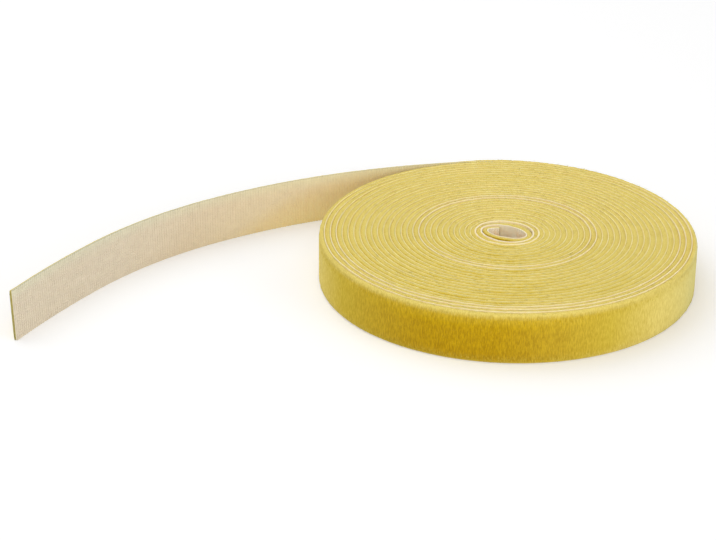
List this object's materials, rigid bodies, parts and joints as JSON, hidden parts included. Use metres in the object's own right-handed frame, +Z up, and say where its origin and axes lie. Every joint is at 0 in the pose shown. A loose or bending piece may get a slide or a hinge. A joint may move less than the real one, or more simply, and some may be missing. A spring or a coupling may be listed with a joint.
{
  "type": "hook and loop tape roll",
  "caption": "Coreless flat roll of back-to-back hook and loop tape, loop pile outside and hook film inside, with a free tail that peels off the roll and flexes.",
  "frame": {"origin": "on the roll's axis, in the plane that the tape's lower edge stands on", "axes": "+Z up along the roll's axis; +X along the long side of the box, away from the tail's free end; the tail leaves the roll at its +Y side"},
  "size_m": [0.249, 0.1408, 0.019],
  "materials": {
    "loop_pile": "brushed yellow loop pile",
    "hook_film": "pale translucent moulded film with fine rows of hooks"
  },
  "bodies": {
    "roll": {"wound_hook_layer": "hook_film", "wound_loop_layer": "loop_pile"},
    "tail_1": {"tail_hook_layer_1": "hook_film", "tail_loop_layer_1": "loop_pile"},
    "tail_2": {"tail_hook_layer_2": "hook_film", "tail_loop_layer_2": "loop_pile"},
    "tail_3": {"tail_hook_layer_3": "hook_film", "tail_loop_layer_3": "loop_pile"},
    "tail_4": {"tail_hook_layer_4": "hook_film", "tail_loop_layer_4": "loop_pile"}
  },
  "joints": [
    {"name": "tail_peel", "type": "hinge", "parent": "roll", "child": "tail_1", "pos_m": [-0.00853, 0.06945, 0.0095], "axis": [0, 0, -1], "range_deg": [0, 60], "stiffness_Nm_per_rad": 0.014},
    {"name": "tail_flex_1", "type": "hinge", "parent": "tail_1", "child": "tail_2", "pos_m": [-0.06141, 0.05681, 0.0095], "axis": [0, 0, -1], "range_deg": [-30, 40], "stiffness_Nm_per_rad": 0.014},
    {"name": "tail_flex_2", "type": "hinge", "parent": "tail_2", "child": "tail_3", "pos_m": [-0.10985, 0.03211, 0.0095], "axis": [0, 0, -1], "range_deg": [-30, 40], "stiffness_Nm_per_rad": 0.014},
    {"name": "tail_flex_3", "type": "hinge", "parent": "tail_3", "child": "tail_4", "pos_m": [-0.14935, -0.00505, 0.0095], "axis": [0, 0, -1], "range_deg": [-30, 40], "stiffness_Nm_per_rad": 0.014}
  ],
  "couplings": [
    {"joint": "tail_flex_2", "follows": "tail_flex_1", "ratio": 1},
    {"joint": "tail_flex_3", "follows": "tail_flex_1", "ratio": 1}
  ]
}
